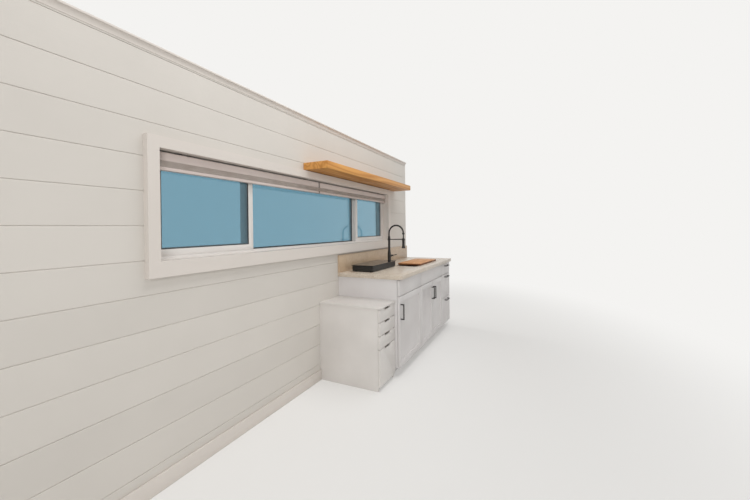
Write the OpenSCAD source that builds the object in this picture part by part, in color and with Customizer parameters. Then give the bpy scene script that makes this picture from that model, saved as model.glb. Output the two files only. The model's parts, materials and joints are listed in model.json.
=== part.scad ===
// Side wall of a small towed house, with its strip window and the kitchenette fitted along it.
// The origin is on the floor under the middle of the wall. +X runs along the wall to the kitchen
// end, the room lies on the -Y side, and +Z is up. In the modules below, d is a distance from the
// inner face of the wall into the room, so layers inside the wall have a negative d.

/* [Wall] */
// Length of the wall
wall_l = 4880; // [4500:10:5400]
// Height of the wall, floor to ceiling
wall_h = 2290; // [2150:10:2500]
// Thickness of the boards that line the room side
lining_t = 19; // [12:1:25]
// Depth of the studs
stud_d = 89; // [64:1:140]
// Width of a stud, and thickness of a plate
stud_w = 38; // [35:1:45]
// Distance from stud to stud
stud_pitch = 406; // [300:1:610]
// Height of the beam over the window
header_h = 140; // [89:1:184]
// Thickness of the sheathing and the outer boards together
cladding_t = 32; // [20:1:45]

/* [Window opening] */
// Middle of the window, from the middle of the wall
win_x = 312; // [200:1:400]
// Clear width between the side linings
win_w = 2875; // [2400:5:3100]
// Clear height between the sill and the head
win_h = 581; // [500:1:650]
// Height of the sill above the floor
sill_z = 1184; // [1150:1:1220]
// Thickness of the boards that line the opening
liner_t = 19; // [12:1:22]
// Width of the side and head casing boards
casing_w = 60; // [45:1:75]
// Height of the casing board below the sill
apron_h = 84; // [60:1:90]
// How far the casing stands out from the wall
casing_t = 35; // [19:1:45]
// Width of the dark trim round the outside
trim_w = 90; // [60:1:120]
// Thickness of the dark trim
trim_t = 20; // [15:1:30]

/* [Window] */
// Depth from the inner face of the wall to the window frame
frame_setback = 50; // [30:1:60]
// Face width of the window frame
frame_w = 42; // [35:1:60]
// How far the frame reaches behind the lining of the opening
frame_hide = 25; // [22:1:30]
// Width of each sliding sash
sash_w = 683; // [550:1:750]
// Face width of a sash and of the posts between the panes
sash_rail = 38; // [30:1:45]
// Thickness of a sash
sash_t = 30; // [24:1:34]
// Thickness of the double glazing
glass_t = 18; // [12:1:20]
// Depth from the frame's inner face to the fixed pane
fixed_setback = 52; // [40:1:60]

/* [Blind] */
// Gap between the blind's headrail and the head of the opening
blind_gap = 10; // [4:1:20]
// Height of the headrail
headrail_h = 45; // [35:1:55]
// Height of the folded pleats
pleats_h = 33; // [25:1:60]
// Height of the bottom rail
bottomrail_h = 18; // [12:1:25]
// Depth of a blind, front to back
blind_d = 34; // [25:1:40]
// Gap between the two blinds
blind_split = 8; // [4:1:12]
// Number of pleats in a folded blind
pleats = 8; // [6:1:12]

/* [Trim and shelf] */
// Height of the trim under the ceiling
crown_h = 40; // [25:1:60]
// Thickness of the trim under the ceiling
crown_t = 18; // [10:1:30]
// Height of the baseboard
base_h = 90; // [60:1:140]
// Thickness of the baseboard
base_t = 14; // [10:1:20]
// Left end of the floating shelf
shelf_x = 80; // [0:1:200]
// Length of the floating shelf
shelf_l = 1925; // [1500:1:2200]
// Depth of the floating shelf
shelf_d = 240; // [180:1:300]
// Thickness of the floating shelf
shelf_t = 60; // [30:1:70]
// Gap between the casing over the window and the shelf
shelf_gap = 6; // [2:1:60]

/* [Base cabinets] */
// Left end of the row of cabinets
run_x = 604; // [560:1:604]
// Width of the cabinet under the hob
hob_cab_w = 610; // [450:1:620]
// Width of the cabinet under the sink
sink_cab_w = 838; // [762:1:840]
// Width of the cabinet with drawers
stack_cab_w = 381; // [305:1:385]
// Height of the cabinets under the worktop
cab_h = 876; // [850:1:880]
// Thickness of the cabinet boards
board_t = 18; // [15:1:19]
// Thickness of the cabinet backs
back_t = 6; // [4:1:12]
// Depth from the wall to the face of the doors
front_d = 635; // [600:1:640]
// Thickness of the doors and drawer fronts
front_t = 22; // [18:1:24]
// Gap between neighbouring doors and drawer fronts
reveal = 5; // [5:1:6]
// Gap between a closed door and its cabinet
seat_gap = 0.8; // [0.5:0.1:0.9]
// Height of the toe space
toe_h = 85; // [70:1:100]
// Depth of the toe space
toe_d = 75; // [50:1:90]
// Height of the top fronts
top_front_h = 139; // [120:1:150]
// Height of the middle drawer front
mid_front_h = 296; // [200:1:310]
// Gap between the top fronts and the worktop
top_gap = 10; // [6:1:14]

/* [Doors and pulls] */
// Width of the raised border round a door
door_border = 57; // [45:1:65]
// Depth of the door's sunk panel
door_sink = 8; // [4:1:10]
// Length of a pull
pull_l = 140; // [120:1:160]
// Width of a pull's bar
pull_w = 12; // [8:1:16]
// Thickness of a pull's bar and of its legs
pull_bar = 9; // [7:1:12]
// How far a pull stands out
pull_out = 35; // [28:1:40]
// Distance from a door's free edge to its pull
pull_edge = 28; // [20:1:35]
// Distance from a door's top edge to its pull
pull_drop = 67; // [50:1:90]
// Distance from a drawer front's top edge to its pull
drawer_pull_drop = 30; // [22:1:45]

/* [Drawers] */
// Thickness of a drawer's sides
drawer_side = 12; // [9:1:15]
// Thickness of a drawer's bottom
drawer_floor = 6; // [4:1:9]
// Space for the runner on each side of a drawer
runner_w = 13; // [12:1:14]
// Height of a runner
runner_h = 35; // [25:1:45]
// Gap between a runner and its drawer
runner_gap = 0.5; // [0.3:0.1:0.8]
// Depth of a drawer in the base cabinets
stack_drawer_d = 550; // [450:1:560]
// Depth of a drawer in the low unit
low_drawer_d = 500; // [400:1:520]

/* [Worktop] */
// Thickness of the worktop
top_t = 38; // [28:1:40]
// Depth of the worktop
top_d = 660; // [645:1:700]
// How far the worktop passes the first cabinet
top_over = 12; // [0:1:25]
// Radius of the worktop's free corner
top_r = 55; // [10:1:80]
// Gap between the strip behind the worktop and the casing of the window
upstand_gap = 18; // [2:1:60]
// Thickness of the strip behind the worktop
upstand_t = 19; // [12:1:25]

/* [Sink] */
// Left end of the bowl
sink_x = 1325; // [1320:1:1335]
// Length of the bowl
sink_l = 680; // [640:1:685]
// Distance from the wall to the bowl
sink_y = 290; // [240:1:300]
// Width of the bowl
sink_w = 255; // [230:1:260]
// Depth of the bowl below the worktop
sink_deep = 170; // [130:1:200]
// Thickness of the bowl's steel
sink_t = 2; // [1.5:0.1:3]
// Radius of the bowl's corners
sink_r = 25; // [12:1:35]
// Width of the rim under the worktop
sink_rim = 14; // [10:1:16]
// Radius of the strainer
strainer_r = 42; // [35:1:45]
// Depth of the strainer's cup below the bowl
strainer_h = 20; // [12:1:30]
// Thickness of the wooden board over the bowl
wood_t = 18; // [12:1:25]
// Left end of the wooden board
wood_x = 1440; // [1400:1:1450]
// Length of the wooden board
wood_l = 630; // [580:1:640]
// How far the wooden board passes the bowl on each side
wood_over = 11; // [8:1:30]
// Radius of the wooden board's corners
wood_r = 12; // [4:1:20]

/* [Hob] */
// Left end of the hob
hob_x = 700; // [660:1:720]
// Length of the hob
hob_l = 585; // [500:1:600]
// Distance from the wall to the hob
hob_y = 83; // [40:1:100]
// Width of the hob
hob_w = 247; // [220:1:350]
// Height of the hob with its feet
hob_h = 65; // [45:1:80]
// Thickness of the hob's glass plate
hob_glass_t = 5; // [4:1:6]

/* [Tap] */
// Place of the tap along the wall
tap_x = 1540; // [1480:1:1600]
// Distance from the wall to the tap
tap_y = 130; // [110:1:150]
// Height of the tap's body
tap_body_h = 160; // [130:1:180]
// Radius of the tap's body
tap_body_r = 20; // [18:1:26]
// Radius of the tap's foot
tap_foot_r = 25; // [22:1:30]
// Radius of the riser over the body
riser_r = 12.5; // [11:0.5:14]
// Distance from the riser to the spray head
tap_reach = 184; // [150:1:200]
// Height of the top of the bend
tap_h = 468; // [440:1:500]
// Height of the arm that holds the spray head
arm_z = 290; // [270:1:300]
// Thickness of the arm
arm_t = 10; // [8:1:12]
// Radius of the spring
spring_r = 11; // [10:0.5:12]
// Thickness of the spring's wire
wire_t = 3; // [2.4:0.1:3.4]
// Number of turns of the spring
spring_turns = 42; // [30:1:46]
// Height of the spray head's lower end
head_z = 186; // [170:1:200]
// Length of the spray head
head_l = 124; // [110:1:130]
// Radius of the spray head
head_r = 15; // [13:1:17]
// Radius of the spray head's lower rim
nozzle_r = 22; // [19:1:25]
// Height of the lever
lever_z = 90; // [70:1:110]
// Length of the lever
lever_l = 80; // [60:1:90]
// Radius of the lever's rod
lever_r = 4.5; // [3.5:0.5:6]

/* [Low drawer unit] */
// Width of the low unit
low_w = 318; // [300:1:400]
// Depth of the low unit
low_d = 590; // [540:1:600]
// Height of the low unit
low_h = 690; // [640:1:720]
// Thickness of the low unit's top
low_top_t = 16; // [12:1:25]
// Thickness of the low unit's sides
low_side_t = 16; // [12:1:19]
// Thickness of the low unit's drawer fronts
low_front_t = 18; // [15:1:20]
// How far the low unit's top passes its side and its fronts
low_over = 8; // [2:1:15]
// Radius of the free corner of the low unit's top
low_top_r = 40; // [10:1:60]
// Height of a shallow drawer with its gap
low_pitch = 109; // [95:1:115]
// Height of the low unit's plinth
plinth_h = 40; // [30:1:60]
// How far the plinth stands back from the carcass's edge
plinth_back = 30; // [15:1:60]
// Length of a finger slot
slot_l = 113; // [70:1:130]
// Height of a finger slot
slot_h = 16; // [10:1:20]

/* [Hidden] */
$fn = 64;

// Overshoot of a cut past the face that it opens
cut = 1;

// Layers of the wall, from the room outwards
wall_t = lining_t + stud_d + cladding_t;
y_in = -wall_t / 2;
stud_in = -lining_t;
stud_out = -lining_t - stud_d;
wall_out = -wall_t;
wall_x0 = -wall_l / 2;
wall_x1 = wall_l / 2;

// Window opening, frame and panes
win_x0 = win_x - win_w / 2;
win_x1 = win_x + win_w / 2;
head_of_win = sill_z + win_h;
frame_x0 = win_x0 - frame_hide;
frame_x1 = win_x1 + frame_hide;
frame_z0 = sill_z - frame_hide;
frame_z1 = head_of_win + frame_hide;
clear_x0 = frame_x0 + frame_w;
clear_x1 = frame_x1 - frame_w;
clear_z0 = frame_z0 + frame_w;
clear_z1 = frame_z1 - frame_w;
frame_in = -frame_setback;
track_gap = 2;
sash_in = frame_in - track_gap;
sash_out = sash_in - sash_t;
post_in = sash_out - track_gap;
sash_glass_in = sash_in - (sash_t - glass_t) / 2;
fixed_glass_in = frame_in - fixed_setback;
trim_cover = 12;
casing_top = head_of_win + casing_w;
shelf_z = casing_top + shelf_gap;

// Framing round the opening
ro_gap = 10;
ro_x0 = frame_x0 - ro_gap;
ro_x1 = frame_x1 + ro_gap;
plate_top_z = wall_h - 2 * stud_w;
sill_plate_z = frame_z0 - stud_w;
header_z1 = frame_z1 + header_h;
bays = ceil((wall_l - stud_w) / stud_pitch);
stud_xs = [for (i = [0:bays]) min(wall_x0 + i * stud_pitch, wall_x1 - stud_w)];
side_studs = [for (x = stud_xs) if (x + 4 * stud_w < ro_x0 || x > ro_x1 + 3 * stud_w) x];
cripples = [for (x = stud_xs) if (x > ro_x0 + stud_w && x + 2 * stud_w < ro_x1) x];

// Two blinds, hung side by side inside the opening
blind_side = 5;
blind_xs = [
  [win_x0 + blind_side, win_x - blind_split / 2],
  [win_x + blind_split / 2, win_x1 - blind_side]
];
blind_in = -(frame_setback - blind_d) / 2;
blind_out = blind_in - blind_d;
headrail_z1 = head_of_win - blind_gap;
headrail_z0 = headrail_z1 - headrail_h;
pleats_z0 = headrail_z0 - pleats_h;
bottomrail_z0 = pleats_z0 - bottomrail_h;
bracket_w = 30;
bracket_set = 150;
cloth_t = 5;
fold_h = pleats_h / (2 * pleats);

// Base cabinets
sink_cab_x = run_x + hob_cab_w;
stack_cab_x = sink_cab_x + sink_cab_w;
run_x1 = stack_cab_x + stack_cab_w;
front_back_d = front_d - front_t;
cab_d = front_back_d - seat_gap;
fronts_z1 = cab_h - top_gap;
top_front_z0 = fronts_z1 - top_front_h;
door_z1 = top_front_z0 - reveal;
mid_front_z0 = door_z1 - mid_front_h;
low_front_z1 = mid_front_z0 - reveal;
rail_d = 48;
back_rail_d = 90;
toe_t = 12;
sink_mid_x = sink_cab_x + sink_cab_w / 2;

// Each drawer front in the stack, as its lower and upper edge, from the top down
stack_zs = [[top_front_z0, fronts_z1], [mid_front_z0, door_z1], [toe_h, low_front_z1]];
drawer_head = 25;
drawer_foot = 12;
drawer_lift = 2;
drawer_clear = 10;

// Worktop, sink and hob
top_z = cab_h + top_t;
upstand_h = sill_z - apron_h - upstand_gap - top_z;
sink_x1 = sink_x + sink_l;
sink_y1 = sink_y + sink_w;
bowl_z = cab_h - sink_t;
hob_foot_h = 6;
hob_foot_r = 15;
hob_r = 14;
hob_step = 8;

// Tap, measured from its own foot on the worktop
foot_h = 6;
neck_z = tap_body_h - 32;
bend_r = tap_reach / 2;
bend_z = tap_h - spring_r - bend_r;
spout_gap = 0.3;
sleeve_t = 1.5;
collar_r = 18;
collar_h = 20;
ring_t = 3.5;
ring_h = 16;
spring_foot_t = 6;
spring_foot_z = arm_z + collar_h / 2 + 24;
spring_z = spring_foot_z + spring_foot_t;
end_collar_h = 16;
end_collar_r = spring_r + 2.5;
hose_gap = 0.7;
hose_r = spring_r - wire_t - hose_gap;
head_top_z = head_z + head_l;
rim_h = 10;
boss_r = 15;
boss_x = 36;
lever_hub = 12;
lever_lift = 12;

// Spring round the hose: up from its foot, then over the bend
wire_sides = 5;
wire_steps = 12;
coil_r = spring_r - wire_t / 2;
coil_seat = wire_t / 2 + spout_gap;
coil_rise = bend_z - spring_z;
coil_l = coil_rise + PI * bend_r - 2 * coil_seat;
wire_n = spring_turns * wire_steps;

// Low drawer unit, which stands against the first cabinet
low_x0 = run_x - low_w;
low_front_back = low_d - low_front_t;
low_cab_d = low_front_back - seat_gap;
low_top_z0 = low_h - low_top_t;
plinth_d = low_cab_d - plinth_back;
low_zs = [
  for (i = [0:3]) [
    i < 3 ? low_top_z0 - (i + 1) * low_pitch : plinth_h,
    low_top_z0 - i * low_pitch - reveal
  ]
];

// Board between two heights, seen from the room
module slab(x0, x1, d0, d1, z0, z1) {
  translate([x0, y_in - d1, z0]) cube([x1 - x0, d1 - d0, z1 - z0]);
}

// Flat ring round a rectangular opening, with its own width on the sides, below and above
module frame_ring(x0, x1, z0, z1, d0, d1, side, below, above) {
  difference() {
    slab(x0, x1, d0, d1, z0, z1);
    slab(x0 + side, x1 - side, d0 - cut, d1 + cut, z0 + below, z1 - above);
  }
}

// Solid over an outline in plan, drawn as distance along the wall and distance from it
module plan(z0, z1) {
  translate([0, y_in, z0]) linear_extrude(z1 - z0) mirror([0, 1]) children();
}

// Rectangle in plan with four round corners
module round_plan(x0, x1, d0, d1, r) {
  translate([x0 + r, d0]) square([x1 - x0 - 2 * r, d1 - d0]);
  translate([x0, d0 + r]) square([x1 - x0, d1 - d0 - 2 * r]);
  for (x = [x0 + r, x1 - r], d = [d0 + r, d1 - r]) translate([x, d]) circle(r);
}

// Rectangle in plan whose free corner, left and front, is round
module free_corner_plan(x0, x1, d1, r) {
  translate([x0 + r, 0]) square([x1 - x0 - r, d1]);
  translate([x0, 0]) square([x1 - x0, d1 - r]);
  translate([x0 + r, d1 - r]) circle(r);
}

// Bar pull whose legs stand square at its two ends, on the front face
module pull(x, z, upright) {
  half = pull_l / 2;
  turn = upright ? [0, 90, 0] : [0, 0, 0];
  translate([x, y_in - front_d, z]) rotate(turn) difference() {
    translate([-half, -pull_out, -pull_w / 2]) cube([pull_l, pull_out, pull_w]);
    translate([pull_bar - half, pull_bar - pull_out, -pull_w / 2 - cut])
      cube([pull_l - 2 * pull_bar, pull_out - pull_bar + cut, pull_w + 2 * cut]);
  }
}

// Door with a raised border round a sunk panel
module shaker_door(x0, x1) {
  difference() {
    slab(x0, x1, front_back_d, front_d, toe_h, door_z1);
    slab(
      x0 + door_border, x1 - door_border, front_d - door_sink, front_d + cut,
      toe_h + door_border, door_z1 - door_border
    );
  }
}

// Open box of a drawer behind its front, between the runners of its cabinet
module drawer_box(x0, x1, d0, d1, z0, z1) {
  difference() {
    slab(x0, x1, d0, d1, z0, z1);
    slab(
      x0 + drawer_side, x1 - drawer_side, d0 + drawer_side, d1 - drawer_side,
      z0 + drawer_floor, z1 + cut
    );
  }
}

// Carcass of a base cabinet: two sides with the toe space cut out, floor, back and two top rails
module base_cabinet(x0, w) {
  x1 = x0 + w;
  difference() {
    union() {
      for (x = [x0, x1 - board_t]) slab(x, x + board_t, 0, cab_d, 0, cab_h);
    }
    slab(x0 - cut, x1 + cut, cab_d - toe_d - toe_t, cab_d + cut, -cut, toe_h);
  }
  slab(x0, x1, 0, cab_d, toe_h, toe_h + board_t);
  slab(x0, x1, 0, back_t, toe_h, cab_h);
  slab(x0, x1, 0, back_rail_d, cab_h - board_t, cab_h);
  slab(x0, x1, cab_d - rail_d, cab_d, cab_h - board_t, cab_h);
}

module wall_plates() {
  color("burlywood") {
    slab(wall_x0, wall_x1, stud_out, stud_in, 0, stud_w);
    slab(wall_x0, wall_x1, stud_out, stud_in, plate_top_z, wall_h);
    slab(ro_x0, ro_x1, stud_out, stud_in, sill_plate_z, frame_z0);
    slab(ro_x0 - stud_w, ro_x1 + stud_w, stud_out, stud_in, frame_z1, header_z1);
  }
}

module wall_studs() {
  color("wheat") {
    for (x = side_studs) slab(x, x + stud_w, stud_out, stud_in, stud_w, plate_top_z);
    for (x = [ro_x0 - 2 * stud_w, ro_x1 + stud_w])
      slab(x, x + stud_w, stud_out, stud_in, stud_w, plate_top_z);
    for (x = [ro_x0 - stud_w, ro_x1])
      slab(x, x + stud_w, stud_out, stud_in, stud_w, frame_z1);
    for (x = cripples) {
      slab(x, x + stud_w, stud_out, stud_in, stud_w, sill_plate_z);
      slab(x, x + stud_w, stud_out, stud_in, header_z1, plate_top_z);
    }
  }
}

module inner_lining() {
  color("whitesmoke") difference() {
    slab(wall_x0, wall_x1, -lining_t, 0, 0, wall_h);
    slab(
      win_x0 - liner_t, win_x1 + liner_t, -lining_t - cut, cut,
      sill_z - liner_t, head_of_win + liner_t
    );
  }
}

module outer_cladding() {
  color("whitesmoke") difference() {
    slab(wall_x0, wall_x1, wall_out, stud_out, 0, wall_h);
    slab(frame_x0, frame_x1, wall_out - cut, stud_out + cut, frame_z0, frame_z1);
  }
}

module outer_trim() {
  reach = trim_w - trim_cover;
  color("dimgray") frame_ring(
    frame_x0 - reach, frame_x1 + reach, frame_z0 - reach, frame_z1 + reach,
    wall_out - trim_t, wall_out, trim_w, trim_w, trim_w
  );
}

module jamb_liner() {
  color("white") frame_ring(
    win_x0 - liner_t, win_x1 + liner_t, sill_z - liner_t, head_of_win + liner_t,
    frame_in, 0, liner_t, liner_t, liner_t
  );
}

module casing_rails() {
  color("white") {
    slab(win_x0 - casing_w, win_x1 + casing_w, 0, casing_t, head_of_win, casing_top);
    slab(win_x0 - casing_w, win_x1 + casing_w, 0, casing_t, sill_z - apron_h, sill_z);
  }
}

module casing_sides() {
  color("white") for (x = [win_x0 - casing_w, win_x1])
    slab(x, x + casing_w, 0, casing_t, sill_z, head_of_win);
}

module window_frame() {
  color("ghostwhite") {
    frame_ring(
      frame_x0, frame_x1, frame_z0, frame_z1, wall_out, frame_in, frame_w, frame_w, frame_w
    );
    for (x = [clear_x0 + sash_w - sash_rail, clear_x1 - sash_w])
      slab(x, x + sash_rail, wall_out, post_in, clear_z0, clear_z1);
  }
}

module sliding_sashes() {
  color("ghostwhite") for (x = [clear_x0, clear_x1 - sash_w])
    frame_ring(x, x + sash_w, clear_z0, clear_z1, sash_out, sash_in, sash_rail, sash_rail, sash_rail);
}

module window_glass() {
  color("lightblue", 0.4) {
    for (x = [clear_x0, clear_x1 - sash_w])
      slab(
        x + sash_rail, x + sash_w - sash_rail, sash_glass_in - glass_t, sash_glass_in,
        clear_z0 + sash_rail, clear_z1 - sash_rail
      );
    slab(
      clear_x0 + sash_w, clear_x1 - sash_w, fixed_glass_in - glass_t, fixed_glass_in,
      clear_z0, clear_z1
    );
  }
}

module blind_rails() {
  color("linen") for (xs = blind_xs) {
    slab(xs[0], xs[1], blind_out, blind_in, headrail_z0, headrail_z1);
    for (x = [xs[0] + bracket_set, xs[1] - bracket_set - bracket_w])
      slab(x, x + bracket_w, blind_out, blind_in, headrail_z1, head_of_win);
    slab(xs[0], xs[1], blind_out, blind_in, bottomrail_z0, pleats_z0);
  }
}

// Folded cloth, drawn as one zigzag in the cross-section of the wall
module blind_pleats() {
  near = -blind_in;
  far = -blind_out - cloth_t;
  folds = [for (i = [0:2 * pleats]) [i % 2 == 0 ? near : far, pleats_z0 + i * fold_h]];
  back = [for (i = [2 * pleats:-1:0]) folds[i] + [cloth_t, 0]];
  color("tan") for (xs = blind_xs)
    translate([xs[0], y_in, 0]) rotate([90, 0, 90]) linear_extrude(xs[1] - xs[0])
      polygon(concat(folds, back));
}

module crown_trim() {
  color("white") slab(wall_x0, wall_x1, 0, crown_t, wall_h - crown_h, wall_h);
}

module baseboard() {
  color("white") slab(wall_x0, low_x0, 0, base_t, 0, base_h);
}

module floating_shelf() {
  color("goldenrod") slab(shelf_x, shelf_x + shelf_l, 0, shelf_d, shelf_z, shelf_z + shelf_t);
}

module hob_cabinet() {
  color("white") base_cabinet(run_x, hob_cab_w);
}

module sink_cabinet() {
  color("white") base_cabinet(sink_cab_x, sink_cab_w);
}

module drawer_cabinet() {
  x1 = stack_cab_x + stack_cab_w;
  color("white") {
    base_cabinet(stack_cab_x, stack_cab_w);
    for (zs = stack_zs, x = [stack_cab_x + board_t, x1 - board_t - runner_w + runner_gap]) {
      z = max(zs[0] + drawer_foot, toe_h + board_t) + drawer_floor;
      slab(x, x + runner_w - runner_gap, cab_d - stack_drawer_d, cab_d, z, z + runner_h);
    }
  }
}

module toe_kick() {
  color("gainsboro") slab(run_x, run_x1, cab_d - toe_d - toe_t, cab_d - toe_d, 0, toe_h);
}

module false_fronts() {
  color("white") for (xs = [[run_x, sink_cab_x], [sink_cab_x, stack_cab_x]])
    slab(
      xs[0] + reveal / 2, xs[1] - reveal / 2, front_back_d - seat_gap, front_d,
      top_front_z0, fronts_z1
    );
}

module worktop() {
  color("silver") difference() {
    plan(cab_h, top_z) free_corner_plan(run_x - top_over, run_x1, top_d, top_r);
    plan(cab_h - cut, top_z + cut) round_plan(sink_x, sink_x1, sink_y, sink_y1, sink_r);
  }
}

module upstand() {
  color("tan") slab(run_x - top_over, run_x1, 0, upstand_t, top_z, top_z + upstand_h);
}

module sink_bowl() {
  wall = sink_t;
  floor_z = cab_h - sink_deep;
  color("gray") difference() {
    union() {
      plan(bowl_z, cab_h)
        round_plan(sink_x - sink_rim, sink_x1 + sink_rim, sink_y - sink_rim, sink_y1 + sink_rim, sink_r);
      plan(floor_z - wall, cab_h)
        round_plan(sink_x - wall, sink_x1 + wall, sink_y - wall, sink_y1 + wall, sink_r + wall);
      translate([sink_x + sink_l / 2, y_in - sink_y - sink_w / 2, floor_z - wall - strainer_h])
        cylinder(r = strainer_r, h = strainer_h);
    }
    plan(floor_z, cab_h + cut) round_plan(sink_x, sink_x1, sink_y, sink_y1, sink_r);
  }
}

module sink_board() {
  color("peru") plan(top_z, top_z + wood_t)
    round_plan(wood_x, wood_x + wood_l, sink_y - wood_over, sink_y1 + wood_over, wood_r);
}

module hob() {
  x1 = hob_x + hob_l;
  y1 = hob_y + hob_w;
  inset = hob_step + hob_foot_r + hob_r;
  color("#202020") {
    plan(top_z + hob_foot_h, top_z + hob_h - hob_glass_t)
      round_plan(hob_x + hob_step, x1 - hob_step, hob_y + hob_step, y1 - hob_step, hob_r);
    plan(top_z + hob_h - hob_glass_t, top_z + hob_h) round_plan(hob_x, x1, hob_y, y1, hob_r);
    for (x = [hob_x + inset, x1 - inset], d = [hob_y + inset, y1 - inset])
      translate([x, y_in - d, top_z]) cylinder(r = hob_foot_r, h = hob_foot_h);
  }
}

module low_unit_cabinet() {
  color("white") {
    for (x = [low_x0, run_x - low_side_t]) slab(x, x + low_side_t, 0, low_cab_d, 0, low_top_z0);
    slab(low_x0, run_x, 0, back_t, 0, low_top_z0);
    slab(low_x0, run_x, 0, low_cab_d, plinth_h - low_side_t, plinth_h);
    slab(low_x0, run_x, plinth_d - low_side_t, plinth_d, 0, plinth_h);
    for (zs = low_zs, x = [low_x0 + low_side_t, run_x - low_side_t - runner_w + runner_gap]) {
      z = zs[0] + drawer_foot + drawer_floor;
      slab(x, x + runner_w - runner_gap, low_cab_d - low_drawer_d, low_cab_d, z, z + runner_h);
    }
  }
}

module low_unit_top() {
  color("white") plan(low_top_z0, low_h)
    free_corner_plan(low_x0 - low_over, run_x, low_d + low_over, low_top_r);
}

// Turned piece of the tap: its profile lists radius and height
module turned(profile) {
  rotate_extrude() polygon(profile);
}

module at_tap() {
  color("#202020") translate([tap_x, y_in - tap_y, top_z]) children();
}

module tap_body() {
  at_tap() {
    turned([
      [0, 0], [tap_foot_r, 0], [tap_foot_r, foot_h - 2], [tap_body_r, foot_h], [tap_body_r, neck_z],
      [riser_r + sleeve_t, tap_body_h - foot_h], [riser_r + sleeve_t, tap_body_h], [0, tap_body_h]
    ]);
    translate([0, 0, lever_z]) rotate([0, 90, 0]) cylinder(r = boss_r, h = boss_x);
  }
}

// Riser with its collars, up to the foot of the spring
module tap_riser() {
  low = tap_body_h + spout_gap;
  collar_z0 = arm_z - collar_h / 2;
  collar_z1 = arm_z + collar_h / 2;
  foot_r = spring_r + sleeve_t;
  turned([
    [0, low], [riser_r + sleeve_t, low], [riser_r + sleeve_t, low + foot_h], [riser_r, low + foot_h],
    [riser_r, collar_z0 - sleeve_t], [collar_r, collar_z0], [collar_r, collar_z1],
    [riser_r, collar_z1 + sleeve_t], [riser_r, spring_foot_z - sleeve_t], [foot_r, spring_foot_z],
    [foot_r, spring_z], [0, spring_z]
  ]);
}

// Spray head, widest at its lower rim and drawn in to the hose at its top
module spray_head() {
  translate([0, -tap_reach, 0]) turned([
    [0, head_z], [nozzle_r - 2, head_z], [nozzle_r, head_z + 2], [nozzle_r, head_z + rim_h],
    [head_r, head_z + 3 * rim_h], [head_r, head_top_z - 2 * rim_h], [hose_r + sleeve_t, head_top_z],
    [0, head_top_z]
  ]);
}

module tap_spout() {
  at_tap() {
    tap_riser();
    translate([0, 0, spring_z]) cylinder(r = hose_r, h = bend_z - spring_z);
    translate([0, -bend_r, bend_z]) rotate([90, 0, 90])
      rotate_extrude(angle = 180) translate([bend_r, 0]) circle(r = hose_r, $fn = 32);
    translate([0, -tap_reach, head_top_z]) cylinder(r = hose_r, h = bend_z - head_top_z);
    translate([0, -tap_reach, bend_z - end_collar_h]) cylinder(r = end_collar_r, h = end_collar_h);
    spray_head();
    translate([-arm_t / 2, -tap_reach, arm_z - arm_t / 2]) cube([arm_t, tap_reach, arm_t]);
    translate([0, -tap_reach, arm_z - ring_h / 2]) cylinder(r = head_r + ring_t, h = ring_h);
  }
}

// Angle round the bend, point on the hose and direction out from it, a length s above the spring's foot
function bend_turn(s) = max(0, min(180, (s - coil_rise) / bend_r * 180 / PI));
function hose_point(s) =
  let (a = bend_turn(s)) [0, bend_r * (cos(a) - 1), spring_z + min(s, coil_rise) + bend_r * sin(a)];
function coil_out(s, t) = let (a = bend_turn(s)) [cos(t), sin(t) * cos(a), sin(t) * sin(a)];

// Middle of the spring's wire at step i, and the ring of corners round it
function coil_s(i) = coil_seat + coil_l * i / wire_n;
function coil_point(i) =
  hose_point(coil_s(i)) + coil_r * coil_out(coil_s(i), 360 * i / wire_steps);
function coil_ring(i) =
  let (
    ahead = coil_point(i + 0.01) - coil_point(i - 0.01),
    out = coil_out(coil_s(i), 360 * i / wire_steps),
    side = cross(ahead / norm(ahead), out)
  )
  [
    for (k = [0:wire_sides - 1])
      coil_point(i) + wire_t / 2 * (cos(360 * k / wire_sides) * out + sin(360 * k / wire_sides) * side)
  ];

module tap_spring() {
  points = [for (i = [0:wire_n], point = coil_ring(i)) point];
  walls = [
    for (i = [0:wire_n - 1], k = [0:wire_sides - 1])
      let (
        a = i * wire_sides + k,
        b = i * wire_sides + (k + 1) % wire_sides,
        c = b + wire_sides,
        d = a + wire_sides
      )
      each [[a, d, c], [a, c, b]]
  ];
  start = [for (k = [0:wire_sides - 1]) k];
  end = [for (k = [wire_sides - 1:-1:0]) wire_n * wire_sides + k];
  at_tap() polyhedron(points, concat(walls, [start, end]));
}

module tap_lever() {
  color("#202020") translate([tap_x + boss_x + spout_gap, y_in - tap_y, top_z + lever_z]) {
    rotate([0, 90, 0]) cylinder(r = boss_r, h = lever_hub);
    translate([lever_hub / 2, 0, 0]) rotate([90 - lever_lift, 0, 0]) cylinder(r = lever_r, h = lever_l);
  }
}

module hob_door() {
  color("white") shaker_door(run_x + reveal / 2, sink_cab_x - reveal / 2);
}

module hob_door_pull() {
  color("#202020") pull(run_x + reveal / 2 + pull_edge, door_z1 - pull_drop - pull_l / 2, true);
}

module sink_door_left() {
  color("white") shaker_door(sink_cab_x + reveal / 2, sink_mid_x - reveal / 2);
}

module sink_door_left_pull() {
  color("#202020") pull(sink_mid_x - reveal / 2 - pull_edge, door_z1 - pull_drop - pull_l / 2, true);
}

module sink_door_right() {
  color("white") shaker_door(sink_mid_x + reveal / 2, stack_cab_x - reveal / 2);
}

module sink_door_right_pull() {
  color("#202020") pull(sink_mid_x + reveal / 2 + pull_edge, door_z1 - pull_drop - pull_l / 2, true);
}

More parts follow.
